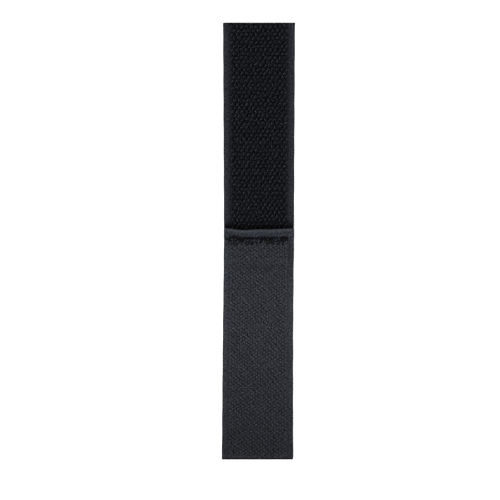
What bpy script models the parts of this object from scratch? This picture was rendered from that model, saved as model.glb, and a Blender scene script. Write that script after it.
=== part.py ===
"""A 25 mm hook-and-loop strap made of two woven nylon tapes sewn end to end.

Both tapes show their working face, the hooks on one half and the loops on the other, so the strap
closes on itself when it is folded at the seam in the middle. The loop tape's end is turned over its
own face as a hem and laid on the end of the hook tape. A bartack through all the layers joins them.

The strap lies on its back along Y, with the hooks towards +Y and the loops towards -Y. The origin is
under its middle. A tape is woven in one piece. It is divided here at its fold line, with a round end
that turns about the fold's axis, because each half of the strap swings about the stiff seam.
"""

import math

import bmesh
import bpy
from mathutils import Vector

MM = 0.001

# The strap
TAPE_WIDTH = 25.4 * MM
HALF_LENGTH = 79.2 * MM  # from the middle of the strap to a free end
TAPE_THICKNESS = 0.8 * MM
SELVAGE_WIDTH = 2.35 * MM  # the plain woven edge beside the hooks or the loops
SELVAGE_ROUND = 0.25 * MM
GAP = 0.3 * MM  # between two layers that lie on each other

# The hot-cut free ends, which are melted thinner
SEALED_LENGTH = 0.6 * MM
SEALED_SHARE = 0.6  # of the thickness, at the very end

# The slice of the weave that holds the feet of the hooks or the pile, let into the tape
FIELD_BASE = 0.25 * MM
FIELD_START = 0.9 * MM  # from the fold's axis

# Monofilament hooks. Every second row of the real tape is there.
HOOK_HEIGHT = 1.4 * MM  # above the tape's face
HOOK_THICKNESS = 0.3 * MM
HOOK_REACH = 0.62 * MM  # across the crook
HOOK_CROOK = math.radians(220)  # how far round the crook goes from the stem to the cut point
HOOK_COLUMN_PITCH = 1.68 * MM
HOOK_ROW_PITCH = 2.75 * MM
HOOK_TURN = math.radians(31)  # from the tape's length to the plane of a hook
HOOK_SIDES = 3
CROOK_STEPS = 3

# Napped loops, which lie in columns
PILE_HEIGHT = 1.4 * MM  # above the tape's face
PILE_COLUMNS = 11
PILE_FURROW_DEPTH = 0.35 * MM
PILE_ARC_STEPS = 4

# The seam
HOOK_TAPE_TUCK = 6.0 * MM  # how far the hook tape's end reaches past the middle
HEM_EDGE = 4.45 * MM  # from the middle to the outside of the hem's turn
HEM_TURN_RADIUS = 0.3 * MM  # inside the turn
HEM_RAW_END = 1.5 * MM  # how far the hem's cut end reaches back past the middle
STEP_RUN = 2.4 * MM  # over which the loop tape climbs onto the hook tape's end

# The bartack, a close zigzag of lockstitches from selvage to selvage
BARTACK_HEIGHT = 2.5 * MM
BARTACK_OFFSET = 0.3 * MM  # of its middle from the strap's middle
STITCH_PITCH = 0.74 * MM
THREAD = 0.32 * MM
THREAD_LEG = 0.29 * MM  # the thread drawn tight in a needle hole
THREAD_GAP = 0.15 * MM  # round the thread in its hole and over the cloth
THREAD_SIDES = 6
BOBBIN_DENT = 0.55 * MM  # how deep the bobbin thread draws into the back of the tape

# The fold lines, from the middle
HOOK_FOLD = 7.0 * MM
LOOP_FOLD = 10.9 * MM

ARC_STEPS = 3  # facets of each quarter of a rounded edge
WELD = 0.001 * MM  # points this close are one
FOLD_STEPS = 4  # facets of each quarter of a tape's round end at its fold
RAMP_STEPS = 6  # facets of the tape's smooth climbs

FIELD_WIDTH = TAPE_WIDTH - 2 * SELVAGE_WIDTH
FIELD_END = HALF_LENGTH - SEALED_LENGTH - GAP  # from the middle of the strap
HALF_THICKNESS = TAPE_THICKNESS / 2
LAP_MIDDLE = TAPE_THICKNESS + GAP + HALF_THICKNESS  # height of the loop tape over the hook tape's end
HEM_MIDDLE = LAP_MIDDLE + TAPE_THICKNESS + GAP  # height of the turned hem at the bartack
TURN_MIDDLE_RADIUS = HEM_TURN_RADIUS + HALF_THICKNESS
HEM_TOP = HEM_MIDDLE + HALF_THICKNESS
STEP_TOP = HOOK_TAPE_TUCK + GAP  # the loop tape is level from here to the hem
SEAM_PILE_START = HEM_RAW_END + 2 * GAP  # the uncrushed loops below the bartack, from the middle
BARTACK_STITCHES = round(FIELD_WIDTH / STITCH_PITCH)


def clear_scene():
    for item in list(bpy.data.objects):
        bpy.data.objects.remove(item)


def finish_material(name, colour, roughness, metallic=0.0):
    material = bpy.data.materials.new(name)
    material.use_nodes = True
    shader = material.node_tree.nodes["Principled BSDF"]
    shader.inputs["Base Color"].default_value = (*colour, 1.0)
    shader.inputs["Roughness"].default_value = roughness
    shader.inputs["Metallic"].default_value = metallic
    return material


def new_object(name, shape, material=None):
    """An object from a bmesh, with its faces turned outwards."""
    bmesh.ops.recalc_face_normals(shape, faces=shape.faces)
    mesh = bpy.data.meshes.new(name)
    shape.to_mesh(mesh)
    shape.free()
    item = bpy.data.objects.new(name, mesh)
    bpy.context.scene.collection.objects.link(item)
    if material:
        mesh.materials.append(material)
        mesh.shade_smooth()
        mesh.set_sharp_from_angle(angle=math.radians(35))
    return item


def combine(item, other, operation):
    """Cuts another object from this one, or joins it to this one. The other is a guide and isn't built."""
    change = item.modifiers.new(other.name, "BOOLEAN")
    change.object = other
    change.operation = operation
    change.solver = "EXACT"
    other.hide_render = True
    other.display_type = "WIRE"


# ---------------------------------------------------------------- strips swept along the strap


class Station:
    """A place on the middle line of a tape: where it is, its slope, and how thick the tape is there."""

    def __init__(self, y, z, slope=0.0, share=1.0):
        self.y = y
        self.z = z
        self.slope = slope
        self.share = share

    def place(self, x, height):
        lift = height * self.share
        return Vector((x, self.y - math.sin(self.slope) * lift, self.z + math.cos(self.slope) * lift))


def sweep(profile, stations):
    """A closed strip: the cross-section's points (x, height) at each station, with flat ends."""
    shape = bmesh.new()
    rings = [[shape.verts.new(at.place(x, height)) for x, height in profile] for at in stations]
    for ring, following in zip(rings, rings[1:]):
        for i in range(len(profile)):
            j = (i + 1) % len(profile)
            shape.faces.new((ring[i], ring[j], following[j], following[i]))
    shape.faces.new(rings[0])
    shape.faces.new(rings[-1])
    return shape


def rounded_section(width, thickness, rounding):
    """A tape's cross-section about its middle line, with rounded selvages."""
    points = []
    for side, level, start in ((1, -1, -90), (1, 1, 0), (-1, 1, 90), (-1, -1, 180)):
        centre_x = side * (width / 2 - rounding)
        centre_z = level * (thickness / 2 - rounding)
        for step in range(ARC_STEPS + 1):
            turn = math.radians(start + 90 * step / ARC_STEPS)
            points.append((centre_x + rounding * math.cos(turn), centre_z + rounding * math.sin(turn)))
    return points


def tape_section():
    return rounded_section(TAPE_WIDTH, TAPE_THICKNESS, SELVAGE_ROUND)


def fold_end(fold, towards):
    """Stations that round a tape's end about the axis of its fold."""
    turns = [math.pi / 2 * (step + 1) / FOLD_STEPS for step in range(FOLD_STEPS)]
    return [
        Station(fold - towards * HALF_THICKNESS * math.cos(turn), HALF_THICKNESS, share=math.sin(turn))
        for turn in turns
    ]


def sealed_end(end, towards):
    """Stations that thin a tape to its hot-cut end."""
    return [
        Station(end - towards * SEALED_LENGTH, HALF_THICKNESS),
        Station(end - towards * SEALED_LENGTH / 3, HALF_THICKNESS, share=(1 + SEALED_SHARE) / 2),
        Station(end, HALF_THICKNESS, share=SEALED_SHARE),
    ]


def field_tray(name, start, end):
    """The cutter for the shallow tray that the slice with the hooks or the pile is let into."""
    depth = FIELD_BASE + GAP
    shape = bmesh.new()
    bmesh.ops.create_cube(shape, size=1.0)
    for corner in shape.verts:
        corner.co.x *= FIELD_WIDTH + 2 * GAP
        corner.co.y = end if corner.co.y > 0 else start
        corner.co.z = TAPE_THICKNESS + (depth if corner.co.z > 0 else -depth)
    return new_object(name, shape)


def free_tape(name, fold, towards, material):
    """The free stretch of a tape, from its fold line to its hot-cut end."""
    end = towards * HALF_LENGTH
    tape = new_object(name, sweep(tape_section(), fold_end(fold, towards) + sealed_end(end, towards)), material)
    tray_start = fold + towards * (FIELD_START - GAP)
    tray_end = towards * (FIELD_END + GAP)
    combine(tape, field_tray(name + "_tray", *sorted((tray_start, tray_end))), "DIFFERENCE")
    return tape


# ---------------------------------------------------------------- hooks


def hook_line():
    """The middle line of one hook, as (along, up): a stem that bends over into a crook."""
    radius = HOOK_REACH / 2
    crown = HOOK_HEIGHT - radius - HOOK_THICKNESS / 2
    points = [(-radius, -FIELD_BASE / 2)]
    for step in range(CROOK_STEPS + 1):
        turn = math.pi - HOOK_CROOK * step / CROOK_STEPS
        points.append((radius * math.cos(turn), crown + radius * math.sin(turn)))
    return points


def add_hook(shape, x, y, facing):
    """One hook, a strand that ends in a cut point. It stands on the tape's face at x, y."""
    along = Vector((math.sin(HOOK_TURN), math.cos(HOOK_TURN), 0)) * facing
    across = along.cross(Vector((0, 0, 1)))
    foot = Vector((x, y, TAPE_THICKNESS))
    line = [foot + along * a + Vector((0, 0, up)) for a, up in hook_line()]
    rings = []
    for i, point in enumerate(line[:-1]):
        ahead = (line[i + 1] - line[max(i - 1, 0)]).normalized()
        if i == 0:
            ahead = Vector((0, 0, 1))
        outward = ahead.cross(across)
        ring = []
        for side in range(HOOK_SIDES):
            turn = 2 * math.pi * side / HOOK_SIDES
            offset = (outward * math.cos(turn) + across * math.sin(turn)) * HOOK_THICKNESS / 2
            ring.append(shape.verts.new(point + offset))
        rings.append(ring)
    tip = shape.verts.new(line[-1])
    for ring, following in zip(rings, rings[1:]):
        for i in range(HOOK_SIDES):
            j = (i + 1) % HOOK_SIDES
            shape.faces.new((ring[i], ring[j], following[j], following[i]))
    for i in range(HOOK_SIDES):
        shape.faces.new((rings[-1][i], rings[-1][(i + 1) % HOOK_SIDES], tip))
    shape.faces.new(rings[0])


def field_slice(start, end):
    """The slice of weave that the hooks stand in, flush with the selvages."""
    section = [
        (side * FIELD_WIDTH / 2, level * FIELD_BASE / 2)
        for side, level in ((1, -1), (1, 1), (-1, 1), (-1, -1))
    ]
    middle = TAPE_THICKNESS - FIELD_BASE / 2
    return sweep(section, [Station(start, middle), Station(end, middle)])


def hook_field(name, material):
    """The hooks in staggered rows, fused to their slice of the weave."""
    start = HOOK_FOLD + FIELD_START
    end_room = HOOK_REACH / 2 * math.cos(HOOK_TURN) + HOOK_THICKNESS
    side_room = HOOK_REACH / 2 * math.sin(HOOK_TURN) + HOOK_THICKNESS
    stagger = HOOK_COLUMN_PITCH / 2
    rows = int((FIELD_END - start - 2 * end_room) / HOOK_ROW_PITCH) + 1
    columns = int((FIELD_WIDTH - 2 * side_room - stagger) / HOOK_COLUMN_PITCH) + 1
    first_y = (start + FIELD_END - (rows - 1) * HOOK_ROW_PITCH) / 2
    first_x = -((columns - 1) * HOOK_COLUMN_PITCH + stagger) / 2
    strands = bmesh.new()
    for row in range(rows):
        facing = 1 if row % 2 else -1
        for column in range(columns):
            x = first_x + column * HOOK_COLUMN_PITCH + (row % 2) * stagger
            add_hook(strands, x, first_y + row * HOOK_ROW_PITCH, facing)
    field = new_object(name, field_slice(start, FIELD_END), material)
    combine(field, new_object(name + "_strands", strands), "UNION")
    return field


# ---------------------------------------------------------------- loops


def pile_section(foot):
    """The cross-section of the pile about the tape's middle line: columns of loops, with furrows between."""
    top = HALF_THICKNESS + PILE_HEIGHT
    pitch = FIELD_WIDTH / PILE_COLUMNS
    points = [(-FIELD_WIDTH / 2, foot), (FIELD_WIDTH / 2, foot)]
    for column in range(PILE_COLUMNS):
        right = FIELD_WIDTH / 2 - column * pitch
        for step in range(PILE_ARC_STEPS):
            share = step / PILE_ARC_STEPS
            bulge = math.sin(math.pi * share)
            points.append((right - share * pitch, top - PILE_FURROW_DEPTH * (1 - bulge)))
    points.append((-FIELD_WIDTH / 2, top - PILE_FURROW_DEPTH))
    return points


def loop_pile(name, material):
    """The pile of the free stretch, on the slice of weave that is let into the tape."""
    start = -LOOP_FOLD - FIELD_START
    foot = HALF_THICKNESS - FIELD_BASE
    return new_object(
        name,
        sweep(pile_section(foot), [Station(start, HALF_THICKNESS), Station(-FIELD_END, HALF_THICKNESS)]),
        material,
    )


# ---------------------------------------------------------------- the seam


def ease(share):
    return share * share * (3 - 2 * share)


def ramp(start, end, low, high):
    """Stations of a smooth climb from one level to another."""
    stations = []
    for i in range(RAMP_STEPS + 1):
        share = i / RAMP_STEPS
        rise = 6 * share * (1 - share) * (high - low) / (end - start)
        y = start + share * (end - start)
        stations.append(Station(y, low + (high - low) * ease(share), math.atan(rise)))
    return stations


def step_stations():
    """The loop tape climbing from the table onto the end of the hook tape."""
    return ramp(-STEP_TOP - STEP_RUN, -STEP_TOP, HALF_THICKNESS, LAP_MIDDLE)


def hem_stations():
    """The end of the loop tape: up the step, along the lap, over the turn and back to its cut end."""
    turn_centre = HEM_EDGE - TURN_MIDDLE_RADIUS - HALF_THICKNESS
    turn_top = LAP_MIDDLE + 2 * TURN_MIDDLE_RADIUS
    stations = [Station(-LOOP_FOLD + HALF_THICKNESS + GAP, HALF_THICKNESS)] + step_stations()
    steps = 4 * ARC_STEPS
    for i in range(steps + 1):
        turn = math.pi * i / steps
        y = turn_centre + TURN_MIDDLE_RADIUS * math.sin(turn)
        z = LAP_MIDDLE + TURN_MIDDLE_RADIUS * (1 - math.cos(turn))
        stations.append(Station(y, z, turn))
    bartack_edge = BARTACK_OFFSET + BARTACK_HEIGHT / 2 + THREAD
    descent = ramp(bartack_edge, turn_centre, HEM_MIDDLE, turn_top)[::-1]
    for at in descent[1:]:
        stations.append(Station(at.y, at.z, math.pi + at.slope))
    stations.append(Station(-HEM_RAW_END, HEM_MIDDLE, math.pi))
    return stations


def needle_points():
    """Where the needle goes through the cloth, in the order of the stitches."""
    pitch = FIELD_WIDTH / BARTACK_STITCHES
    return [
        (i * pitch - FIELD_WIDTH / 2, BARTACK_OFFSET + (i % 2 - 0.5) * BARTACK_HEIGHT)
        for i in range(BARTACK_STITCHES + 1)
    ]


def posts(name, low, high, width, sides):
    """An upright prism at every needle hole, from one height to another, as wide across its corners."""
    shape = bmesh.new()
    for x, y in needle_points():
        made = bmesh.ops.create_cone(
            shape, cap_ends=True, segments=sides, radius1=width / 2, radius2=width / 2, depth=high - low
        )
        bmesh.ops.translate(shape, verts=made["verts"], vec=(x, y, (low + high) / 2))
    return new_object(name, shape)


def bartack_thread(name, run_level, leg_end, material):
    """One thread of the lockstitch: a zigzag over the cloth, with a leg down each needle hole."""
    curve = bpy.data.curves.new(name + "_run", "CURVE")
    curve.dimensions = "3D"
    curve.bevel_depth = THREAD / 2
    curve.bevel_resolution = 1
    curve.use_fill_caps = True
    line = curve.splines.new("POLY")
    corners = needle_points()
    line.points.add(len(corners) - 1)
    for point, (x, y) in zip(line.points, corners):
        point.co = (x, y, run_level, 1.0)
    guide = bpy.data.objects.new(name + "_run", curve)
    run = bpy.data.meshes.new_from_object(guide)
    bpy.data.objects.remove(guide)
    shape = bmesh.new()
    shape.from_mesh(run)
    bmesh.ops.remove_doubles(shape, verts=shape.verts, dist=WELD)
    thread = new_object(name, shape, material)
    low, high = sorted((run_level, leg_end))
    combine(thread, posts(name + "_legs", low, high, THREAD_LEG, THREAD_SIDES), "UNION")
    return thread


def seam(hook_material, loop_material, pile_material, thread_material):
    """The stiff middle of the strap: the sewn ends of both tapes, and the bartack."""
    hole_diagonal = (THREAD + 2 * THREAD_GAP) * math.sqrt(2)
    holes = posts("needle_holes", -TAPE_THICKNESS, HEM_TOP + TAPE_THICKNESS, hole_diagonal, 4)

    lap_stations = [
        Station(-HOOK_TAPE_TUCK, HALF_THICKNESS),
        Station(HOOK_FOLD - HALF_THICKNESS - GAP, HALF_THICKNESS),
    ]
    lap = new_object("hook_tape_sewn_end", sweep(tape_section(), lap_stations), hook_material)
    dent = bmesh.new()
    bmesh.ops.create_cube(dent, size=1.0)
    spare = THREAD + 2 * THREAD_GAP
    for corner in dent.verts:
        corner.co.x *= FIELD_WIDTH + 2 * spare
        corner.co.y = BARTACK_OFFSET + corner.co.y * (BARTACK_HEIGHT + 2 * spare)
        corner.co.z = BOBBIN_DENT if corner.co.z > 0 else -BOBBIN_DENT
    combine(lap, new_object("bobbin_dent", dent), "DIFFERENCE")
    combine(lap, holes, "DIFFERENCE")

    hem = new_object("loop_tape_hem", sweep(tape_section(), hem_stations()), loop_material)
    combine(hem, holes, "DIFFERENCE")

    upper_step = step_stations()[RAMP_STEPS // 2 :]
    pile_path = upper_step + [Station(-SEAM_PILE_START, LAP_MIDDLE)]
    new_object("seam_loop_pile", sweep(pile_section(HALF_THICKNESS + GAP), pile_path), pile_material)

    lock = LAP_MIDDLE  # the two threads lock inside the cloth
    needle_level = HEM_TOP + THREAD_GAP + THREAD / 2
    bobbin_level = BOBBIN_DENT - THREAD_GAP - THREAD / 2
    bartack_thread("needle_thread", needle_level, lock + THREAD_GAP, thread_material)
    bartack_thread("bobbin_thread", bobbin_level, lock - THREAD_GAP, thread_material)


def build():
    clear_scene()
    hook_weave = finish_material("hook_tape_weave", (0.022, 0.023, 0.029), 0.65)
    hook_wire = finish_material("hook_monofilament", (0.012, 0.012, 0.015), 0.35)
    loop_weave = finish_material("loop_tape_weave", (0.032, 0.035, 0.044), 0.7)
    loop_nap = finish_material("loop_nap", (0.026, 0.028, 0.034), 0.9)
    sewing = finish_material("sewing_thread", (0.010, 0.010, 0.012), 0.55)

    free_tape("hook_tape", HOOK_FOLD, 1, hook_weave)
    hook_field("hook_field", hook_wire)
    free_tape("loop_tape", -LOOP_FOLD, -1, loop_weave)
    loop_pile("loop_pile", loop_nap)
    seam(hook_weave, loop_weave, loop_nap, sewing)


build()
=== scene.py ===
"""The looks of a black hook-and-loop strap: a hook tape and a loop tape of woven nylon, both face up,
sewn end to end with a bartack through the loop tape's turned hem. Lengths are in metres.

The strap lies along Y with its hooks towards +Y. Every piece is made straight and square, and settle()
then gives it the strap's real outline.
"""

import math

import bpy
import numpy as np
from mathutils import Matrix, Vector


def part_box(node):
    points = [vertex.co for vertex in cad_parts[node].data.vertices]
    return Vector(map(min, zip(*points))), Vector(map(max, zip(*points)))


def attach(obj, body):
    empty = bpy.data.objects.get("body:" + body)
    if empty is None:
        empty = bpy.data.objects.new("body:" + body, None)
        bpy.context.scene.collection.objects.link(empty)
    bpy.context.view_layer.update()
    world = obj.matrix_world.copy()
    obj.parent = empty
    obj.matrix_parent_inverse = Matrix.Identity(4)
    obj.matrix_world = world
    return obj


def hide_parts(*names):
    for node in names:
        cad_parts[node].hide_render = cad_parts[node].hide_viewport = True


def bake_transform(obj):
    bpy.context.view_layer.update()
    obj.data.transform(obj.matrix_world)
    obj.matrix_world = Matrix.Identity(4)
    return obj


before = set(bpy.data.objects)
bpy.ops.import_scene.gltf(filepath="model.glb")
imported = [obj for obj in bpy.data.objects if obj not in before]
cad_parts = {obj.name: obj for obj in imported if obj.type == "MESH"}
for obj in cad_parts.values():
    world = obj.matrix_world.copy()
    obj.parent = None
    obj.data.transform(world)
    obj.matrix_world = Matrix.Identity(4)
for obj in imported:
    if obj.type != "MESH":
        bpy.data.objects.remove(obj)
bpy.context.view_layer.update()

# ---------------------------------------------------------------- the hook tape
# A tape of black nylon, woven tight, with a plain selvage along each side of the hooks. Its free end
# is cut hot, which melts a thin hard edge. The other end lies under the loop tape, where it is sewn.

MM = 0.001
tape_low, tape_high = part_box("hook_tape")
sewn_low, sewn_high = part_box("hook_tape_sewn_end")

WIDTH = tape_high.x - tape_low.x
THICKNESS = sewn_high.z - sewn_low.z
HALF = THICKNESS / 2
FREE_END = tape_high.y
SELVAGE = 2.35 * MM
FIELD = WIDTH - 2 * SELVAGE
WEFT = 0.70 * MM  # from one weft rib to the next
WARP = 0.46 * MM  # from one warp yarn to the next
RIB = 0.035 * MM  # how far a weft rib stands out
EDGE_ROUND = 0.28 * MM
SEALED = 0.55 * MM  # the melted edge
SEALED_SHARE = 0.55  # of the thickness, at the very end
SELVAGE_WANDER = 0.03 * MM  # how far the tape's sides stray
BOBBIN_DENT = 0.32 * MM  # how deep the stitches draw into the back
BARTACK_MIDDLE = 0.3 * MM
BARTACK_HALF_HEIGHT = 1.25 * MM
BOBBIN_ROW = (1.2 * MM, 1.9 * MM)  # from the bartack's middle, where the back's dent fades out
SELVAGE_STEPS = 12
FIELD_STEPS = 30
CORNER_STEPS = 4

SEAM_SHARE = 1.001  # of the straight width, at the seam
HOOK_END_FLARE = 0.028  # more of it, at the hook tape's free end
LOOP_END_FLARE = 0.021
LOOP_TAPE_LEAN = 0.58 * MM
END_LIFT = 0.55 * MM  # of both free ends, off the table
RIPPLE = 0.12 * MM  # of the free tapes, off the table


def smooth(value, start, end):
    """0 before start, 1 after end, and a smooth climb between them."""
    share = np.clip((value - start) / (end - start), 0, 1)
    return share * share * (3 - 2 * share)


def settle(points):
    """The strap's real outline: it draws in at the seam, leans a little past it, and its ends lift."""
    x, y, z = points[..., 0], points[..., 1], points[..., 2]
    out = np.abs(y) / FREE_END
    waist = np.where(y > 0, SEAM_SHARE + HOOK_END_FLARE * out**1.1, SEAM_SHARE + LOOP_END_FLARE * out**1.6)
    lean = np.where(y < 0, -LOOP_TAPE_LEAN * np.tanh(out * 1.6), 0.0)
    ripple = RIPPLE * smooth(out, 0.2, 0.4) * (1 + np.sin(y / (9 * MM) + x / (15 * MM)))
    return np.stack([x * waist + lean, y, z + END_LIFT * out**6 + ripple], axis=-1)


class TapeLine:
    """The middle line of a tape in the YZ plane, by its length. What lies on the tape is placed by it."""

    def __init__(self, y, z):
        self.y = np.array(y)
        self.z = np.array(z)
        self.s = np.concatenate([[0.0], np.cumsum(np.hypot(np.diff(self.y), np.diff(self.z)))])
        self.turn = np.unwrap(np.arctan2(np.gradient(self.z), np.gradient(self.y)))
        self.length = self.s[-1]

    def place(self, x, s, height):
        """Points across the tape by x, along it by s, and off its middle line by height."""
        turn = np.interp(s, self.s, self.turn)
        y = np.interp(s, self.s, self.y) - np.sin(turn) * height
        z = np.interp(s, self.s, self.z) + np.cos(turn) * height
        return np.stack(np.broadcast_arrays(x, y, z), axis=-1)


def put(name, data):
    """An object in the scene for this mesh, light or camera."""
    item = bpy.data.objects.new(name, data)
    bpy.context.scene.collection.objects.link(item)
    return item


def add_mesh(name, points, faces, material, place, tones=None):
    """A smooth mesh with its faces out. Its UV map holds the points' places on the cloth, in millimetres."""
    points = settle(np.asarray(points, float).reshape(-1, 3))
    corners = points[np.array([face[:3] for face in faces])]
    volume = np.einsum("ij,ij->i", corners[:, 0], np.cross(corners[:, 1], corners[:, 2])).sum()
    if volume < 0:
        faces = [face[::-1] for face in faces]
    mesh = bpy.data.meshes.new(name)
    mesh.from_pydata(points.tolist(), [], faces)
    cloth = mesh.uv_layers.new(name="Cloth")
    index = np.empty(len(mesh.loops), np.int32)
    mesh.loops.foreach_get("vertex_index", index)
    corner_place = np.asarray(place, float).reshape(-1, 2)[index] / MM
    cloth.uv.foreach_set("vector", corner_place.astype(np.float32).ravel())
    if tones is not None:
        tone = mesh.attributes.new("tone", "FLOAT", "POINT")
        tone.data.foreach_set("value", np.asarray(tones, np.float32).ravel())
    mesh.shade_smooth()
    mesh.materials.append(material)
    return put(name, mesh)


def tube_faces(rings, around, closed_ends=True):
    """The faces of a tube of rings of points, all with one count around, with its ends open or closed."""
    grid = np.arange(rings * around).reshape(rings, around)
    turned = np.roll(grid, -1, axis=1)
    quads = np.stack([grid[:-1], turned[:-1], turned[1:], grid[1:]], axis=-1).reshape(-1, 4)
    faces = [tuple(quad) for quad in quads.tolist()]
    if closed_ends:
        faces.append(tuple(grid[0][::-1].tolist()))
        faces.append(tuple(grid[-1].tolist()))
    return faces


def across_a_tape():
    """A tape's cross-section as x and height off its middle line, with fine steps over the selvages."""
    half = WIDTH / 2
    selvage = np.linspace(EDGE_ROUND, SELVAGE, SELVAGE_STEPS)
    field = np.linspace(SELVAGE, WIDTH - SELVAGE, FIELD_STEPS)
    top = np.concatenate([selvage[:-1], field, WIDTH - selvage[::-1][1:]]) - half
    corner = np.radians(np.linspace(0, 90, CORNER_STEPS)[:-1])
    round_x = half - EDGE_ROUND + EDGE_ROUND * np.cos(corner)
    round_h = HALF - EDGE_ROUND + EDGE_ROUND * np.sin(corner)
    x = np.concatenate([round_x, top[::-1], -round_x[::-1], -round_x, top, round_x[::-1]])
    flat = np.full(len(top), HALF)
    h = np.concatenate([round_h, flat, round_h[::-1], -round_h, -flat, -round_h[::-1]])
    return x, h


def weave_tape(line, dents, start_is_cut_hot):
    """A tape along its line with weft ribs and dents, thin where cut hot, and which points are its front."""
    x, h = across_a_tape()
    count = int(line.length / (WEFT / 5))
    s = np.linspace(0, line.length, count)[:, None]
    face = np.sign(h)[None, :] * (np.abs(h) > HALF * 0.99)
    ribs = np.cos(2 * math.pi * s / WEFT + 0.5 * np.sin(x[None, :] / (2.2 * MM)) + (h < 0) * math.pi)
    body = smooth(line.length - s, 0, SEALED)
    if start_is_cut_hot:
        body = smooth(s, 0, SEALED) * body
    height = h[None, :] * (SEALED_SHARE + (1 - SEALED_SHARE) * body) + face * RIB * ribs * body
    height = height + dents(x[None, :], s)
    outward = np.sign(x) * (np.abs(x) > WIDTH / 2 - SELVAGE)
    wander = SELVAGE_WANDER * np.sin(s / (1.9 * MM)) * outward[None, :]
    points = line.place(x[None, :] + wander, s, height)
    place = np.stack(np.broadcast_arrays(x[None, :], s), axis=-1)
    front = np.broadcast_to(h[None, :] > 0, place.shape[:2])
    return points, place, tube_faces(count, len(x)), front


class Shade:
    """A socket among a material's nodes. Sums of numbers with it become Math nodes."""

    def __init__(self, tree, socket):
        self.tree = tree
        self.socket = socket

    def node(self, kind, settings, inputs, output=0):
        """Another node: its settings are set first, and then the values or links of its inputs."""
        made = self.tree.nodes.new("ShaderNode" + kind)
        for name, value in settings.items():
            setattr(made, name, value)
        for name, value in inputs.items():
            if isinstance(value, Shade):
                self.tree.links.new(value.socket, made.inputs[name])
            else:
                made.inputs[name].default_value = value
        return Shade(self.tree, made.outputs[output])

    def maths(self, operation, *values, clamp=False):
        return self.node("Math", {"operation": operation, "use_clamp": clamp}, dict(enumerate(values)))

    def __add__(self, other):
        return self.maths("ADD", self, other)

    def __sub__(self, other):
        return self.maths("SUBTRACT", self, other)

    def __rsub__(self, other):
        return self.maths("SUBTRACT", other, self)

    def __mul__(self, other):
        return self.maths("MULTIPLY", self, other)

    __radd__ = __add__
    __rmul__ = __mul__

    def size(self):
        return self.maths("ABSOLUTE", self)

    def wave(self):
        return self.maths("SINE", self)

    def between(self, start, end):
        """0 at start and 1 at end, and no further."""
        return self.maths("MULTIPLY", self - start, 1 / (end - start), clamp=True)

    def mix(self, first, second):
        """A colour between two, by this share."""
        settings = {"data_type": "RGBA", "blend_type": "MIX"}
        ends = [end if isinstance(end, Shade) else (*end, 1.0) for end in (first, second)]
        return self.node("Mix", settings, {0: self, 6: ends[0], 7: ends[1]}, 2)

    def noise(self, scale, detail):
        """Cloudy numbers about 0.5, with so many clouds to a millimetre of the place in this socket."""
        return self.node("TexNoise", {}, {"Vector": self, "Scale": scale, "Detail": detail})


class Finish:
    """A Principled material, with the place on the cloth in millimetres for the values that vary over it."""

    def __init__(self, slot, **constants):
        self.slot = slot
        self.material = bpy.data.materials.new(slot)
        self.material.use_nodes = True
        self.tree = self.material.node_tree
        self.shader = self.tree.nodes["Principled BSDF"]
        for socket, value in constants.items():
            self.shader.inputs[socket.replace("_", " ")].default_value = value
        cloth = self.tree.nodes.new("ShaderNodeUVMap")
        cloth.uv_map = "Cloth"
        self.place = Shade(self.tree, cloth.outputs["UV"])
        self.u = self.place.node("SeparateXYZ", {}, {0: self.place}, 0)
        self.v = self.place.node("SeparateXYZ", {}, {0: self.place}, 1)

    def give(self, socket, value):
        """Links a value that varies over the surface to a socket of the material."""
        self.tree.links.new(value.socket, self.shader.inputs[socket])

    def stretched(self, across, along):
        """The place with each way's millimetres scaled, for streaks that run along or across the tape."""
        scale = (across, along, 1)
        return self.place.node("VectorMath", {"operation": "MULTIPLY"}, {0: self.place, 1: scale})

    def bump(self, height, distance, strength):
        made = height.node("Bump", {}, {"Height": height, "Distance": distance, "Strength": strength})
        self.give("Normal", made)

    def tone(self):
        """The shade that each strand was given when it was made."""
        return self.place.node("Attribute", {"attribute_name": "tone"}, {}, 2)


def plain_weave(finish):
    """Heights of a plain weave, from 0 to 1, and 1 or 0 as the warp or the weft is on top."""
    warp = (finish.u * (math.pi * MM / WARP)).wave()
    weft = (finish.v * (math.pi * MM / WEFT * 2)).wave()
    crossing = warp * weft
    height = crossing.maths("POWER", crossing.size(), 0.5)
    return height, crossing.between(-0.25, 0.25)


def times(colour, share):
    """The colour, darker or lighter by this share."""
    return [part * share for part in colour]


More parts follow.
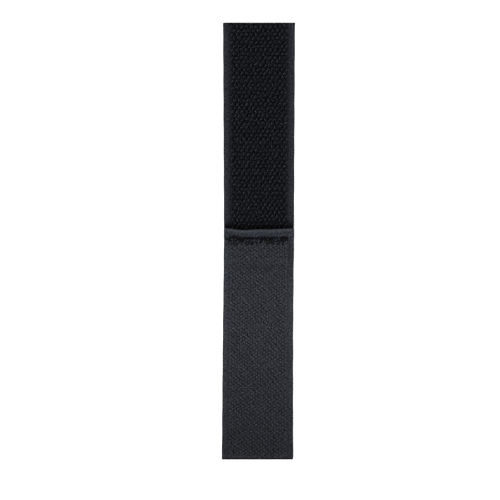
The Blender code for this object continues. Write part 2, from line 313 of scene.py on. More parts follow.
def weave_finish(slot, selvage_colour, field_colour, sealed_s):
    """Woven black nylon: the selvages are painted paler than the ground between them, for the light they
    catch.
    """
    finish = Finish(slot, Specular_IOR_Level=0.02)
    height, warp_up = plain_weave(finish)
    patches = finish.place.noise(0.3, 3.0).between(0.25, 0.75)
    yarn = finish.stretched(2.1, 2.3).noise(1.0, 1.0).between(0.3, 0.7)
    weft_streaks = finish.stretched(0.9, 2.6).noise(1.0, 1.0).between(0.3, 0.7)
    lit = height * 0.5 + warp_up * 0.25 + yarn * 0.95 + patches * 0.08 + weft_streaks * 0.8 - 0.78
    selvage = lit.mix(times(selvage_colour, 0.2), times(selvage_colour, 1.7))
    ground = lit.mix(times(field_colour, 0.5), times(field_colour, 1.4))
    on_selvage = finish.u.size().between((FIELD / 2 - 1.6 * MM) / MM, (FIELD / 2 + 1.4 * MM) / MM)
    on_selvage = on_selvage.maths("MAXIMUM", on_selvage, 1 - finish.tone())
    # Painted shade: a thin dark line along each long edge stands in for its shaded side. The melted end is
    # darker in its own colour.
    edge = finish.u.size().between(WIDTH / 2 / MM - 0.3, WIDTH / 2 / MM - 0.02)
    melted = (finish.v - sealed_s / MM).size().between(SEALED / MM + 0.15, SEALED / MM - 0.15)
    finish.worn = melted.maths("MAXIMUM", melted, edge)
    finish.cloth = on_selvage.mix(ground, selvage)
    finish.dark = times(selvage_colour, 0.12)
    finish.crossings = height
    finish.give("Roughness", 0.78 - height * 0.1 - melted * 0.3)
    finish.bump(height * (1 - melted) + yarn * 0.4, 0.05 * MM, 0.7)
    return finish


def hook_tape_dents(x, s):
    """The back of the tape is drawn in under the bartack."""
    y = s + sewn_low.y
    inner, outer = BOBBIN_ROW
    rows = smooth(y, BARTACK_MIDDLE - outer, BARTACK_MIDDLE - inner)
    rows = rows * (1 - smooth(y, BARTACK_MIDDLE + inner, BARTACK_MIDDLE + outer))
    columns = 1 - smooth(np.abs(x), FIELD / 2 + 0.2 * MM, FIELD / 2 + 0.8 * MM)
    on_back = across_a_tape()[1][None, :] < -HALF * 0.5
    return BOBBIN_DENT * rows * columns * on_back


HOOK_SELVAGE_COLOUR = (0.024, 0.0252, 0.0316)
HOOK_FIELD_COLOUR = (0.0052, 0.0055, 0.0072)
FLOOR_DARK = (0, 0, 0.0002)  # the ground between the hooks
FLOOR_LIGHT = (0.0155, 0.0168, 0.0215)
HOOK_COLUMNS = 12
HOOK_COLUMN_PITCH = 1.69 * MM
HOOK_ROW_PITCH = 1.40 * MM
FIRST_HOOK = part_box("loop_tape_hem")[1].y + 0.45 * MM

hook_line = TapeLine([sewn_low.y, FREE_END], [HALF, HALF])
hook_weave = weave_finish("hook_tape_weave", HOOK_SELVAGE_COLOUR, HOOK_FIELD_COLOUR, hook_line.length)
hem_v = (FIRST_HOOK - sewn_low.y) / MM
# Painted shade: the ground is darker beside the hooks and lighter midway between them, in a lattice with
# their rows.
column_turn = hook_weave.u * (2 * math.pi * MM / HOOK_COLUMN_PITCH) + math.pi / 2
row_turn = (hook_weave.v - hem_v) * (math.pi * MM / HOOK_ROW_PITCH) + math.pi / 2
between_hooks = column_turn.wave() * row_turn.wave() * -0.4
grit = hook_weave.stretched(2.1, 1.7).noise(1.0, 1.0).between(0.36, 0.64)
floor_lit = grit + hook_weave.crossings * 0.4 + between_hooks - 0.33
floor_colour = floor_lit.mix(FLOOR_DARK, FLOOR_LIGHT)
in_field = hook_weave.u.size().between(FIELD / 2 / MM + 0.5, FIELD / 2 / MM - 1.2) * hook_weave.tone()
# Painted, not lit: the front is darker beside the hem, where the hem's shadow falls.
hem_shadow = hook_weave.v.between(hem_v + 3.5, hem_v - 0.8) * hook_weave.tone()
field = hem_shadow.mix(in_field.mix(hook_weave.cloth, floor_colour), hook_weave.dark)
hook_weave.give("Base Color", hook_weave.worn.mix(field, hook_weave.dark))
points, place, faces, front = weave_tape(hook_line, hook_tape_dents, False)
hook_ground = add_mesh("hook_tape_weave", points, faces, hook_weave.material, place, front)

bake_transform(hook_ground)
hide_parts("hook_tape", "hook_tape_sewn_end")

# ---------------------------------------------------------------- the hooks
# Stiff nylon monofilament, woven into the tape in loops that are cut on one side. Each leaves a hook and,
# beside it, the short stub of its other leg. They stand in staggered rows, turned off the tape's length.

HOOK_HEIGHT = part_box("hook_field")[1].z - THICKNESS - 0.02 * MM
HOOK_RADIUS = 0.40 * MM  # of the crook
WIRE = 0.1 * MM  # radius of the monofilament
WIRE_FACETS = 6
HOOK_TURN = math.radians(31)
HOOK_CROOK = 225  # degrees from the stem to the cut point
CROOK_STEPS = 10
HOOK_TAPER = [1] * 9 + [0.98, 0.9, 0.55]  # of the wire's radius, from its foot to its cut point
STUB_TAPER = [1, 1, 0.98, 0.7]
FOOT_STRAY = (0.09 * MM, 0.12 * MM)
LAST_HOOK = FREE_END - SEALED - 0.4 * MM
WIRE_DARK = (0.001, 0.0012, 0.0024)
WIRE_LIGHT = (0.1, 0.1065, 0.129)


def strands(lines, sides, radii, facets):
    """Tubes along many lines of equal counts of points. A line lies in the plane across its side vector."""
    ahead = np.gradient(lines, axis=1)
    ahead /= np.linalg.norm(ahead, axis=2, keepdims=True)
    out = np.cross(ahead, sides[:, None, :])
    out /= np.linalg.norm(out, axis=2, keepdims=True)
    side = np.cross(ahead, out)
    turn = 2 * math.pi * np.arange(facets) / facets
    ring = out[:, :, None, :] * np.cos(turn)[:, None] + side[:, :, None, :] * np.sin(turn)[:, None]
    points = lines[:, :, None, :] + ring * radii[:, :, None, None]
    count, rings = lines.shape[:2]
    one = tube_faces(rings, facets)
    faces = [tuple(corner + k * rings * facets for corner in face) for k in range(count) for face in one]
    steps = np.linalg.norm(np.diff(lines, axis=1), axis=2)
    along = np.concatenate([np.zeros((count, 1)), np.cumsum(steps, axis=1)], axis=1)
    around = turn[None, None, :] * radii[:, :, None]
    place = np.stack(np.broadcast_arrays(around, along[:, :, None]), axis=-1)
    return points, place, faces


def joined(*parts):
    """Several sets of strands as one."""
    points, places, faces, start = [], [], [], 0
    for part_points, part_place, part_faces in parts:
        flat = part_points.reshape(-1, 3)
        points.append(flat)
        places.append(part_place.reshape(-1, 2))
        faces += [tuple(corner + start for corner in face) for face in part_faces]
        start += len(flat)
    return np.concatenate(points), np.concatenate(places), faces


def stand(line, feet, turns, leans, sizes):
    """Copies of a flat line of (along, up) points, each on its foot, turned, leant sideways and sized."""
    along = np.stack([np.sin(turns), np.cos(turns), np.zeros_like(turns)], axis=-1)
    side = np.stack([np.cos(turns), -np.sin(turns), np.zeros_like(turns)], axis=-1)
    up = np.array([0, 0, 1.0]) * np.cos(leans)[:, None] + side * np.sin(leans)[:, None]
    a, b = line[:, 0], line[:, 1]
    reach = along[:, None, :] * (a[None, :] * sizes[:, None])[..., None]
    rise = up[:, None, :] * (b[None, :] * sizes[:, None])[..., None]
    return feet[:, None, :] + reach + rise, np.cross(along, up)


rng = np.random.default_rng(7)
rows = np.arange(FIRST_HOOK, LAST_HOOK, HOOK_ROW_PITCH)
row, column = np.indices((len(rows), HOOK_COLUMNS)).reshape(2, -1)
sites = len(row)
foot_x = (column - (HOOK_COLUMNS - 0.5) / 2) * HOOK_COLUMN_PITCH + (row % 2) * HOOK_COLUMN_PITCH / 2
foot_x = foot_x + rng.normal(0, FOOT_STRAY[0], sites)
foot_y = rows[row] + rng.normal(0, FOOT_STRAY[1], sites)
feet = np.stack([foot_x, foot_y, np.full(sites, THICKNESS)], axis=-1)
swirl = np.sin(foot_x / (4.3 * MM) + 1.3) + np.sin(foot_y / (6.1 * MM)) + rng.normal(0, 0.5, sites)
mirrored = np.where(swirl > 2.1, -1, 1)
turns = HOOK_TURN * mirrored + rng.normal(0, math.radians(12), sites) + (row % 2) * math.pi
leans = rng.normal(0, math.radians(7), sites)
sizes = rng.uniform(0.82, 1.0, sites)

crown = HOOK_HEIGHT - HOOK_RADIUS - WIRE
arc = math.pi - np.radians(np.linspace(0, HOOK_CROOK, CROOK_STEPS))
hook = np.concatenate(
    [
        [(-HOOK_RADIUS, -0.2 * MM), (-HOOK_RADIUS * 1.05, crown * 0.5)],
        np.stack([HOOK_RADIUS * np.cos(arc), crown + HOOK_RADIUS * np.sin(arc)], axis=-1),
    ]
)
stub = np.array([(0.9, -0.2), (1.05, 0.15), (1.15, 0.38), (1.1, 0.5)]) * (HOOK_RADIUS, MM)
hook_lines, hook_sides = stand(hook, feet, turns, leans, sizes)
stub_turns = turns + rng.normal(0, 0.2, sites)
stub_leans = leans + rng.normal(0, 0.15, sites)
stub_lines, stub_sides = stand(stub, feet, stub_turns, stub_leans, sizes)
hook_radii = np.tile(WIRE * np.array(HOOK_TAPER), (sites, 1))
stub_radii = np.tile(WIRE * np.array(STUB_TAPER), (sites, 1))
hook_set = strands(hook_lines, hook_sides, hook_radii, WIRE_FACETS)
stub_set = strands(stub_lines, stub_sides, stub_radii, WIRE_FACETS)
points, place, faces = joined(hook_set, stub_set)

# Painted shade: the rows beside the hem are darker, for the hem's shadow. The cut stubs are paler than the
# hooks.
in_light = 0.3 + 0.7 * smooth(foot_y, FIRST_HOOK - 0.5 * MM, FIRST_HOOK + 3.5 * MM)
shades = (0.15 + 0.58 * rng.beta(1.6, 3.4, sites)) * in_light
hook_tones = np.repeat(shades, len(hook) * WIRE_FACETS)
stub_tones = np.repeat(shades * 1.5, len(stub) * WIRE_FACETS)

hook_wire = Finish("hook_monofilament", Specular_IOR_Level=0.25)
wear = hook_wire.place.noise(1.5, 2.0).between(0.3, 0.7)
shade = hook_wire.tone() + wear * 0.15
hook_wire.give("Base Color", shade.mix(WIRE_DARK, WIRE_LIGHT))
hook_wire.give("Roughness", 0.2 + wear * 0.2)
hook_wire.bump(hook_wire.place.noise(9.0, 2.0), 0.01 * MM, 0.4)

tones = np.concatenate([hook_tones, stub_tones])
hooks = add_mesh("hooks", points, faces, hook_wire.material, place, tones)
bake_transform(hooks)
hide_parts("hook_field")

# ---------------------------------------------------------------- the loop tape
# A tape of charcoal nylon. It climbs onto the end of the hook tape, and its own end is turned back over
# its face as a soft hem, so that the smooth back of the weave shows as a paler band above the bartack.

hem_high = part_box("loop_tape_hem")[1]
LAYER_GAP = 0.3 * MM
LAP = THICKNESS * 1.5 + LAYER_GAP  # height of the tape's middle over the hook tape's end
STEP = (-10.3 * MM, -6.2 * MM)  # from where it leaves the table to where it lies on the hook tape
TURN = 0.7 * MM  # radius of the tape's middle round the hem
TURN_CENTRE = hem_high.y - TURN - HALF
HEM_MIDDLE = LAP + THICKNESS + LAYER_GAP
HEM_TOP = HEM_MIDDLE + HALF
HEM_DROP = (BARTACK_MIDDLE + BARTACK_HALF_HEIGHT + 0.3 * MM, TURN_CENTRE)  # where the turn comes down
RAW_END = -0.8 * MM
RAW_END_DROP = 0.3 * MM
LINE_STEP = 0.05 * MM
DRAWN_BACK = 1.5 * MM  # how far the raw end draws back over the selvages
RAGGED = 0.12 * MM  # how far it is frayed
HEM_LIFT = 0.1 * MM  # of the loose turn, up and down
TACK_DENT = 0.16 * MM  # how far the bartack draws the hem in
STITCH_DIMPLE = 0.05 * MM

LOOP_SELVAGE_COLOUR = (0.0345, 0.0375, 0.0455)
LOOP_FIELD_COLOUR = (0.026, 0.028, 0.034)
HEM_DARK = (0.002, 0.0023, 0.0035)
HEM_LIGHT = (0.051, 0.0565, 0.0725)
CREST_HIGHLIGHT = (0.075, 0.081, 0.1)  # painted highlight on the crest of the turn
BLACK = (0, 0, 0)
TWILL_PITCH = 1.2  # mm


def loop_tape_line():
    """From the free end, up the step, along the lap, over the turn and back to the hem's raw end."""
    level = np.arange(-FREE_END, TURN_CENTRE, LINE_STEP)
    level_z = HALF + (LAP - HALF) * smooth(level, *STEP)
    turn = np.arange(0, math.pi, LINE_STEP / TURN)
    back = np.arange(TURN_CENTRE, RAW_END, -LINE_STEP)
    back_z = HEM_MIDDLE + (LAP + 2 * TURN - HEM_MIDDLE) * smooth(back, *HEM_DROP)
    back_z = back_z - RAW_END_DROP * (1 - smooth(back, RAW_END, RAW_END + 0.9 * MM))
    y = np.concatenate([level, TURN_CENTRE + TURN * np.sin(turn), back])
    z = np.concatenate([level_z, LAP + TURN * (1 - np.cos(turn)), back_z])
    return TapeLine(y, z)


def hem_wave(points, s):
    """The hem's edge wanders, as only the bartack holds it, and its raw end draws back at the sides."""
    x, y, z = points[..., 0], points[..., 1], points[..., 2]
    dip = 0.33 * np.exp(-(((x + 6 * MM) / (3 * MM)) ** 2))
    wander = (0.42 * (x / (WIDTH / 2)) ** 2 - 0.15 - dip) * MM
    lift = HEM_LIFT * np.sin(x / (2.3 * MM) + 1) * smooth(z, LAP, HEM_MIDDLE)
    loose = smooth(y, HEM_DROP[0], TURN_CENTRE)
    back = RAGGED * np.sin(x / (1.1 * MM)) + DRAWN_BACK * smooth(np.abs(x), 9.9 * MM, 11.0 * MM)
    raw = back * smooth(s, loop_line.length - 2.4 * MM, loop_line.length)
    return np.stack([x, y + wander * loose + raw, z + lift * loose], axis=-1)


def hem_dents(x, s):
    """Both layers of the hem are drawn together along the bartack, and dimple at each stitch."""
    y = np.interp(s, loop_line.s, loop_line.y)
    on_hem = s > loop_line.length - (TURN_CENTRE - RAW_END)
    row = np.exp(-(((y - BARTACK_MIDDLE) / (1.3 * MM)) ** 4))
    inside = 1 - smooth(np.abs(x), FIELD / 2, FIELD / 2 + 0.7 * MM)
    dimple = STITCH_DIMPLE * np.sin(x / (0.24 * MM))
    return on_hem * row * inside * (TACK_DENT + dimple)


def light_along(finish):
    """Painted, not lit: a share of the colour that grows from the tape's free end towards the seam."""
    return finish.v.between(4, 50) * 0.4 + 0.58


loop_line = loop_tape_line()
loop_weave = weave_finish("loop_tape_weave", LOOP_SELVAGE_COLOUR, LOOP_FIELD_COLOUR, 0.0)
turn_start = loop_line.length - math.pi * TURN - (TURN_CENTRE - RAW_END)
on_hem = loop_weave.v.between(turn_start / MM, turn_start / MM + 0.5)
in_tack = loop_weave.u.size().between(FIELD / 2 / MM + 0.4, FIELD / 2 / MM - 0.4)
warp_streaks = loop_weave.stretched(1.8, 0.5).noise(1.0, 2.0).between(0.35, 0.65)
slant = {0: (loop_weave.u + loop_weave.v) * 0.95, 1: (loop_weave.v - loop_weave.u) * 2.1}
speckle = loop_weave.place.node("CombineXYZ", {}, slant).noise(1.0, 1.0).between(0.34, 0.66)
twill = ((loop_weave.u + loop_weave.v) * (2 * math.pi / TWILL_PITCH)).wave()
hem_lit = warp_streaks * 0.15 + loop_weave.crossings * 0.4 + speckle + twill * 0.15 - 0.32
band = hem_lit.mix(HEM_DARK, HEM_LIGHT)
step_v = FREE_END / MM + STEP[0] / MM
# Painted shade: the right selvage is darker from the step towards the seam.
crease_shade = loop_weave.u.between(9.6, 10.6) * loop_weave.v.between(step_v - 6, step_v + 4)
# Painted highlight: the crest of the hem's turn is painted paler, where the light catches it.
crest = turn_start / MM + 0.72 * math.pi * TURN / MM
crest_highlight = (loop_weave.v - crest).size().between(0.75, 0.1)
band = (crest_highlight * 0.75).mix(band, CREST_HIGHLIGHT)
stitched_v = (loop_line.length / MM) - (BARTACK_MIDDLE - RAW_END) / MM
# Painted shade: the hem is darker along the bartack, where the stitches shade it.
stitch_row_shade = (loop_weave.v - stitched_v).size().between(1.6, 1.1) * in_tack
band = (1 - stitch_row_shade * 0.55).mix(BLACK, band)
free_cloth = (light_along(loop_weave) - crease_shade * 0.28).mix(BLACK, loop_weave.cloth)
cloth = on_hem.mix(free_cloth, band)
loop_weave.give("Base Color", loop_weave.worn.mix(cloth, loop_weave.dark))
points, place, faces, front = weave_tape(loop_line, hem_dents, True)
points = hem_wave(points, place[..., 1])
loop_ground = add_mesh("loop_tape_weave", points, faces, loop_weave.material, place, front)

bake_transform(loop_ground)
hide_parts("loop_tape", "loop_tape_hem")

# ---------------------------------------------------------------- the loops
# Soft multifilament yarn, woven into the tape as small loops and brushed until they open. They lean from
# tuft to tuft on both diagonals, so the nap reads as a net with a hole between every four tufts, with
# painted shade.

TUFT_COLUMNS = 22
TUFT_PITCH = 1.22 * MM  # along the tape
PILE_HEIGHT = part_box("loop_pile")[1].z - THICKNESS
MAT = 0.62 * MM  # height of the matted layer
HOLE = 0.42 * MM  # how deep its holes are
STRANDS_A_LOOP = 3
YARN = 0.06 * MM  # radius of a strand
YARN_FACETS = 3
STRAND_POINTS = 8
STRAND_SLANT = math.radians(37)  # off the tape's length, to either side
STRAYS = 0.25  # share of the strands that lie any way
PILE_START = SEALED + 0.1 * MM
COLUMN_PITCH = FIELD / TUFT_COLUMNS
MAT_STEPS = 6  # across a column of tufts
MAT_FOOT_STEPS = 12
NAP_DARK = (0.0015, 0.0017, 0.003)
NAP_LIGHT = (0.0945, 0.1, 0.1215)

below_turn = loop_line.s < turn_start
pile_end = np.interp(RAW_END - 0.05 * MM, loop_line.y[below_turn], loop_line.s[below_turn])


def drift(x, s):
    """How far the weave strays from a true lattice."""
    across = 0.05 * MM * np.sin(s / (4.7 * MM) + x / (2.9 * MM))
    across = across + 0.03 * MM * np.sin(s / (1.9 * MM) - x / (3.7 * MM))
    along = 0.10 * MM * np.sin(x / (3.1 * MM) + s / (7.3 * MM))
    along = along + 0.06 * MM * np.sin(x / (1.3 * MM) - s / (5.1 * MM))
    return across, along


def nap_net(x, s):
    """About 1 on a tuft and 0 in a hole. Every second column of tufts is set half a pitch on."""
    across, along = drift(x, s)
    a = 2 * math.pi * (x + FIELD / 2 + across) / (2 * COLUMN_PITCH) - math.pi / 2
    b = 2 * math.pi * (s - PILE_START + along) / TUFT_PITCH
    return 0.5 + 0.26 * np.cos(a) * np.cos(b) + 0.13 * np.cos(2 * a) + 0.15 * np.cos(a + b / 2)


mat_x = np.linspace(-FIELD / 2, FIELD / 2, TUFT_COLUMNS * MAT_STEPS + 1)
mat_s = np.arange(PILE_START, pile_end, 0.18 * MM)
mat_grain = rng.normal(0, 1, (len(mat_s), len(mat_x)))
side_rim = smooth(FIELD / 2 - np.abs(mat_x), 0, 0.4 * MM)
end_rims = smooth(mat_s - PILE_START, 0, 0.5 * MM) * smooth(pile_end - mat_s, 0, 0.3 * MM)
rim = side_rim[None, :] * end_rims[:, None]
hole = np.clip(1 - nap_net(mat_x[None, :], mat_s[:, None]) + 0.1 * mat_grain, 0, 1) * (0.5 + 0.5 * rim)
mat_top = HALF - 0.05 * MM + rim * (MAT - HOLE * hole + 0.05 * MM * mat_grain)
mat_foot_x = np.linspace(FIELD / 2, -FIELD / 2, MAT_FOOT_STEPS)
mat_foot = np.ones((len(mat_s), MAT_FOOT_STEPS))
ring_x = np.concatenate([mat_x, mat_foot_x])
ring_h = np.concatenate([mat_top, mat_foot * (HALF - 0.12 * MM)], axis=1)
mat_points = loop_line.place(ring_x[None, :], mat_s[:, None], ring_h)
mat_place = np.stack(np.broadcast_arrays(ring_x[None, :], mat_s[:, None]), axis=-1)
# Painted shade: the mat is darker in its holes and where the pile starts at the free end. Its foot is darker
# too.
end_shade = 0.35 + 0.65 * smooth(mat_s - PILE_START, 0.1 * MM, 1.0 * MM)[:, None]
mat_tone = np.concatenate([(1.05 * (1 - hole) ** 1.8 - 0.08) * end_shade, mat_foot * 0.4], axis=1)

loop_nap = Finish("loop_nap", Roughness=0.8, Specular_IOR_Level=0.15)
fluff = loop_nap.place.noise(2.2, 1.0).between(0.38, 0.62)
patches = loop_nap.place.noise(0.16, 2.0).between(0.3, 0.7)
nap_lit = loop_nap.tone() * 0.7 + fluff * 0.5 + patches * 0.04 - 0.08
# Painted shade: the nap is darker towards the free end, beside the seam and where the tape climbs the step.
climb = (loop_nap.v - (FREE_END + (STEP[0] + STEP[1]) / 2) / MM).size().between(2.8, 1.0)
near_seam = loop_nap.v.between(pile_end / MM - 12, pile_end / MM)
nap_light = light_along(loop_nap) - near_seam * 0.1 - climb * 0.13
loop_nap.give("Base Color", nap_light.mix(BLACK, nap_lit.mix(NAP_DARK, NAP_LIGHT)))
loop_nap.bump(loop_nap.place.noise(7.0, 3.0), 0.05 * MM, 0.8)

mat_faces = tube_faces(len(mat_s), len(ring_x))
loop_mat = add_mesh("loop_mat", mat_points, mat_faces, loop_nap.material, mat_place, mat_tone)

tuft_rows = np.arange(PILE_START + TUFT_PITCH, pile_end - 0.1 * MM, TUFT_PITCH)
row, column, _ = np.indices((len(tuft_rows), TUFT_COLUMNS, STRANDS_A_LOOP)).reshape(3, -1)
count = len(row)
tuft_x = (column + 0.5) * COLUMN_PITCH - FIELD / 2
tuft_s = tuft_rows[row] - np.where(column % 2, TUFT_PITCH / 2, 0)
across, along = drift(tuft_x, tuft_s)
stray = rng.random(count) < STRAYS
way = np.where(rng.random(count) < np.where((row + column // 2) % 2, 0.15, 0.6), 1, -1)
turns = np.where(stray, rng.uniform(-math.pi, math.pi, count), way * STRAND_SLANT)
turns = turns + rng.normal(0, 0.2, count)
span = np.where(stray, 0.6, 1.0) * rng.uniform(0.6, 1.05, count) * MM
tall = rng.uniform(0.3, 1.0, count) * (PILE_HEIGHT - MAT * 0.6)
bow = rng.normal(0, 0.10 * MM, count)
foot_x = tuft_x - across + rng.normal(0, 0.12 * MM, count) - np.sin(turns) * span / 2
foot_s = tuft_s - along + rng.normal(0, 0.14 * MM, count) - np.cos(turns) * span / 2
share = np.linspace(0, 1, STRAND_POINTS)[None, :]
arch = np.sin(share * math.pi) ** 0.75
ahead = (0.5 - 0.5 * np.cos(share * math.pi)) * span[:, None]
strand_x = foot_x[:, None] + np.sin(turns)[:, None] * ahead + np.cos(turns)[:, None] * bow[:, None] * arch
strand_s = foot_s[:, None] + np.cos(turns)[:, None] * ahead - np.sin(turns)[:, None] * bow[:, None] * arch
height = HALF + MAT * 0.6 + (tall[:, None] * arch) - 0.1 * MM
inside = (np.abs(strand_x).max(axis=1) < FIELD / 2 + 0.25 * MM) & (strand_s.min(axis=1) > PILE_START)
loop_lines = loop_line.place(strand_x, strand_s, height)[inside]
loop_sides = np.stack([np.cos(turns), -np.sin(turns), np.full(count, 0.3)], axis=-1)[inside]
loop_tones = 0.25 + 1.1 * rng.beta(1.3, 2.4, inside.sum())

CAUGHT = 64  # loops that the needle pulled up between the stitches
# Where yarns stick out at the right end of the seam, across and along the strap.
FRAYED = np.array([(11.0, 2.6), (11.6, 2.5), (11.2, 0.85), (12.0, 0.9), (11.6, -0.3)]) * MM
FRAYED_REACH = 1.1 * MM
PULLED_UP = 0.4 * MM  # how high both stand over the hem
PULLED_THICK = 1.8  # of a strand's radius
caught_x = rng.uniform(-FIELD / 2, FIELD / 2, CAUGHT)
caught_y = rng.uniform(-1.3 * MM, 0.7 * MM, CAUGHT)
caught_turn = rng.normal(0, 0.6, CAUGHT)
end_x = np.concatenate([caught_x, FRAYED[:, 0]])[:, None]
end_y = np.concatenate([caught_y, FRAYED[:, 1]])[:, None]
end_turn = np.concatenate([caught_turn, math.pi / 2 + rng.normal(0, 0.08, len(FRAYED))])
caught_reach = rng.uniform(0.35, 0.7, CAUGHT) * MM
end_reach = np.concatenate([caught_reach, np.full(len(FRAYED), FRAYED_REACH)])[:, None]
end_lines = np.stack(
    [
        end_x + (share - 0.5) * end_reach * np.sin(end_turn)[:, None],
        end_y + (share - 0.5) * end_reach * np.cos(end_turn)[:, None],
        HEM_TOP + PULLED_UP * np.sin(share * math.pi) * np.ones_like(end_x),
    ],
    axis=-1,
)
loop_lines = np.concatenate([loop_lines, end_lines])
end_sides = np.stack([np.cos(end_turn), -np.sin(end_turn), np.full(len(end_turn), 0.3)], axis=-1)
loop_sides = np.concatenate([loop_sides, end_sides])
loop_tones = np.concatenate([loop_tones, rng.uniform(0.8, 1.9, len(end_turn))])
loop_radii = np.full(loop_lines.shape[:2], YARN)
loop_radii[-len(end_turn):] = YARN * PULLED_THICK
points, _, faces = strands(loop_lines, loop_sides, loop_radii, YARN_FACETS)

# A strand takes its place on the cloth from where it stands, so that its colour follows the tape's.
loop_place = np.stack([strand_x, strand_s], axis=-1)[inside]
end_place = end_lines[..., :2] + (0, pile_end - RAW_END)
place = np.repeat(np.concatenate([loop_place, end_place]), YARN_FACETS, axis=1)
loop_tones = np.repeat(loop_tones, STRAND_POINTS * YARN_FACETS)
loop_curls = add_mesh("loop_curls", points, faces, loop_nap.material, place, loop_tones)

for piece in (loop_mat, loop_curls):
    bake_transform(piece)
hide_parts("loop_pile", "seam_loop_pile")

# ---------------------------------------------------------------- the bartack
# Black bonded nylon thread. A close zigzag runs from selvage to selvage through the hem, the lap and the
# hook tape, is sewn back over itself, and is tacked at both ends. The bobbin thread shows on the back.

THREAD = 0.165 * MM  # radius
THREAD_FACETS = 8
STITCH_POINTS = 6
REACH = FIELD / 2

# Where a run starts and ends across the tape, its half height, middle, pitch and unevenness, and how far it
# lies over the first.
NEEDLE_RUNS = (
    (-REACH, REACH, 1.42 * MM, BARTACK_MIDDLE, 0.66 * MM, 0.08 * MM, 0),
    (REACH, -REACH, 1.15 * MM, BARTACK_MIDDLE + 0.12 * MM, 0.8 * MM, 0.14 * MM, 0.07 * MM),
    (-REACH, -REACH + 2.8 * MM, 1.75 * MM, 0.45 * MM, 0.2 * MM, 0.2 * MM, 0.12 * MM),
    (-REACH + 0.4 * MM, -WIDTH / 2 + 0.2 * MM, 0.12 * MM, 0.8 * MM, 0.5 * MM, 0.05 * MM, 0.06 * MM),
    (REACH - 2.4 * MM, REACH - 0.1 * MM, 1.2 * MM, 0.75 * MM, 0.3 * MM, 0.12 * MM, 0.1 * MM),
)
BOBBIN_RUN = (-REACH, REACH, 1.2 * MM, BARTACK_MIDDLE, 0.62 * MM, 0.05 * MM)
THREAD_DARK = (0.0002, 0.0002, 0.0006)
THREAD_LIGHT = (0.0055, 0.0058, 0.0075)


def zigzag(level, start, end, half_height, middle, pitch, jitter):
    """The middle line of a thread sewn in a zigzag: flat between its holes and down into each of them."""
    stitches = max(int(abs(end - start) / pitch), 2)
    hole_x = np.linspace(start, end, stitches + 1) + rng.normal(0, jitter, stitches + 1)
    side = np.where(np.arange(stitches + 1) % 2, 1, -1)
    sway = 0.16 * MM * np.sin(hole_x / (1.7 * MM))
    sway = sway + 0.12 * MM * np.sin(hole_x / (0.8 * MM) + half_height / MM)
    uneven = rng.uniform(0.8, 1.18, stitches + 1)
    hole_y = middle + side * half_height * uneven + sway + rng.normal(0, jitter, stitches + 1)
    share = np.arange(0, stitches, 1 / STITCH_POINTS)
    at = np.arange(stitches + 1)
    rise = np.abs(np.sin(share * math.pi)) ** 0.4
    return np.stack([np.interp(share, at, hole_x), np.interp(share, at, hole_y), level(rise)], axis=-1)


def sew(name, lines):
    """The thread along its lines, each with its own count of points."""
    nearly_up = np.array([[0.02, 0.03, 1.0]])
    radii = [np.full((1, len(line)), THREAD) for line in lines]
    sets = [strands(line[None], nearly_up, radius, THREAD_FACETS) for line, radius in zip(lines, radii)]
    points, place, faces = joined(*sets)
    return add_mesh(name, points, faces, thread_finish.material, place)


def over_the_hem(rise):
    """The needle thread's height, from its holes up to its flat stretches on the hem."""
    return HEM_TOP - 0.3 * MM + 0.33 * MM * rise


def under_the_tape(rise):
    """The bobbin thread's height, from its holes down to its flat stretches under the back."""
    return BOBBIN_DENT + 0.1 * MM - 0.24 * MM * rise


needle_lines = [zigzag(over_the_hem, *run) + (0, 0, over) for *run, over in NEEDLE_RUNS]
bobbin_lines = [zigzag(under_the_tape, *BOBBIN_RUN)]

thread_finish = Finish("sewing_thread", Roughness=0.3, Specular_IOR_Level=0.08)
twist = (thread_finish.v * 9.0 + thread_finish.u * (2 / (THREAD / MM))).wave()
dust = thread_finish.place.noise(1.1, 2.0).between(0.35, 0.75)
thread_finish.give("Base Color", (twist * 0.2 + 0.3 + dust * 0.5).mix(THREAD_DARK, THREAD_LIGHT))
thread_finish.bump(twist * 0.5 + 0.5, 0.03 * MM, 0.8)

needle_thread = sew("needle_stitches", needle_lines)
bobbin_thread = sew("bobbin_stitches", bobbin_lines)
for piece, node in ((needle_thread, "needle_thread"), (bobbin_thread, "bobbin_thread")):
    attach(piece, "seam")
    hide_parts(node)

# ---------------------------------------------------------------- the studio
# A white table under soft, even light, and a camera that looks straight down at the strap.

PHOTO_PIXELS = 500
STRAP_PIXELS = (22.8, 459.5)  # the strap's ends in the photograph, down from its top
STRAP_MIDDLE_X = 259.0  # and its middle, from the photograph's left
CAMERA_HEIGHT = 0.9
SENSOR = 36  # mm
NEAREST_SEEN = 0.05
TABLE_RADIUS = 2.4
TABLE_CURVE = 0.6
TABLE_DROP = 0.05 * MM  # below the tapes' backs
TABLE_FACETS = 96
CURVE_STEPS = 12

pixel = 2 * FREE_END / (STRAP_PIXELS[1] - STRAP_PIXELS[0])
view_x = (PHOTO_PIXELS / 2 - STRAP_MIDDLE_X) * pixel
view_y = (sum(STRAP_PIXELS) / 2 - PHOTO_PIXELS / 2) * pixel


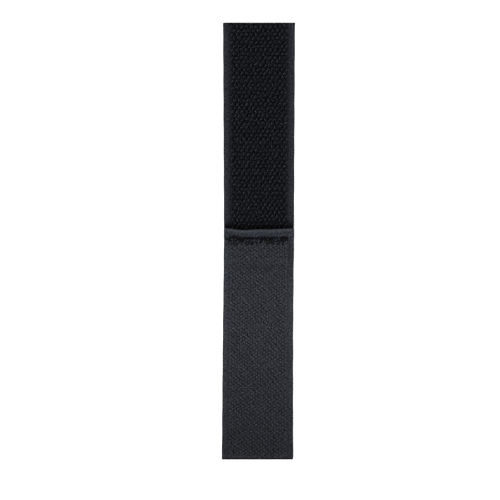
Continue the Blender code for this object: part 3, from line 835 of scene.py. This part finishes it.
def round_table():
    """A round table that curves up at its rim into a low wall, so that no edge of it shows."""
    bend = np.linspace(0, math.pi / 2, CURVE_STEPS)[:, None]
    turn = np.arange(TABLE_FACETS)[None, :] * 2 * math.pi / TABLE_FACETS
    out = TABLE_RADIUS + TABLE_CURVE * np.sin(bend)
    up = TABLE_CURVE * (1 - np.cos(bend)) - TABLE_DROP
    points = np.stack(np.broadcast_arrays(out * np.cos(turn), out * np.sin(turn), up), axis=-1)
    wall = tube_faces(CURVE_STEPS, TABLE_FACETS, closed_ends=False)
    mesh = bpy.data.meshes.new("table")
    top = tuple(range(TABLE_FACETS))
    mesh.from_pydata(points.reshape(-1, 3).tolist(), [], [face[::-1] for face in wall] + [top])
    mesh.shade_smooth()
    return put("table", mesh)


floor = round_table()
white = bpy.data.materials.new("white_table")
white.use_nodes = True
paint = white.node_tree.nodes["Principled BSDF"]
paint.inputs["Base Color"].default_value = (0.92, 0.92, 0.92, 1)
paint.inputs["Roughness"].default_value = 0.9
paint.inputs["Specular IOR Level"].default_value = 0.1
paint.inputs["Emission Color"].default_value = (1, 1, 1, 1)
paint.inputs["Emission Strength"].default_value = 0.55
floor.data.materials.append(white)


def softbox(name, place, size, watts):
    """A round soft light that faces the middle of the strap."""
    light = bpy.data.lights.new(name, "AREA")
    light.shape = "DISK"
    light.size = size
    light.energy = watts
    item = put(name, light)
    item.location = place
    item.rotation_euler = (-Vector(place)).to_track_quat("-Z", "Y").to_euler()


softbox("key", (-0.35, -0.75, 0.85), 0.7, 14)
softbox("fill", (0.75, 0.35, 0.75), 0.8, 8)

world = bpy.data.worlds.new("studio")
world.use_nodes = True
world.node_tree.nodes["Background"].inputs["Color"].default_value = (1, 1, 1, 1)
world.node_tree.nodes["Background"].inputs["Strength"].default_value = 0.06
bpy.context.scene.world = world
bpy.context.scene.view_settings.view_transform = "Standard"

lens = bpy.data.cameras.new("camera")
lens.sensor_width = SENSOR
lens.lens = SENSOR * CAMERA_HEIGHT / (PHOTO_PIXELS * pixel)
lens.clip_start = NEAREST_SEEN
camera = put("camera", lens)
camera.location = (view_x, view_y, CAMERA_HEIGHT + THICKNESS)
bpy.context.scene.camera = camera
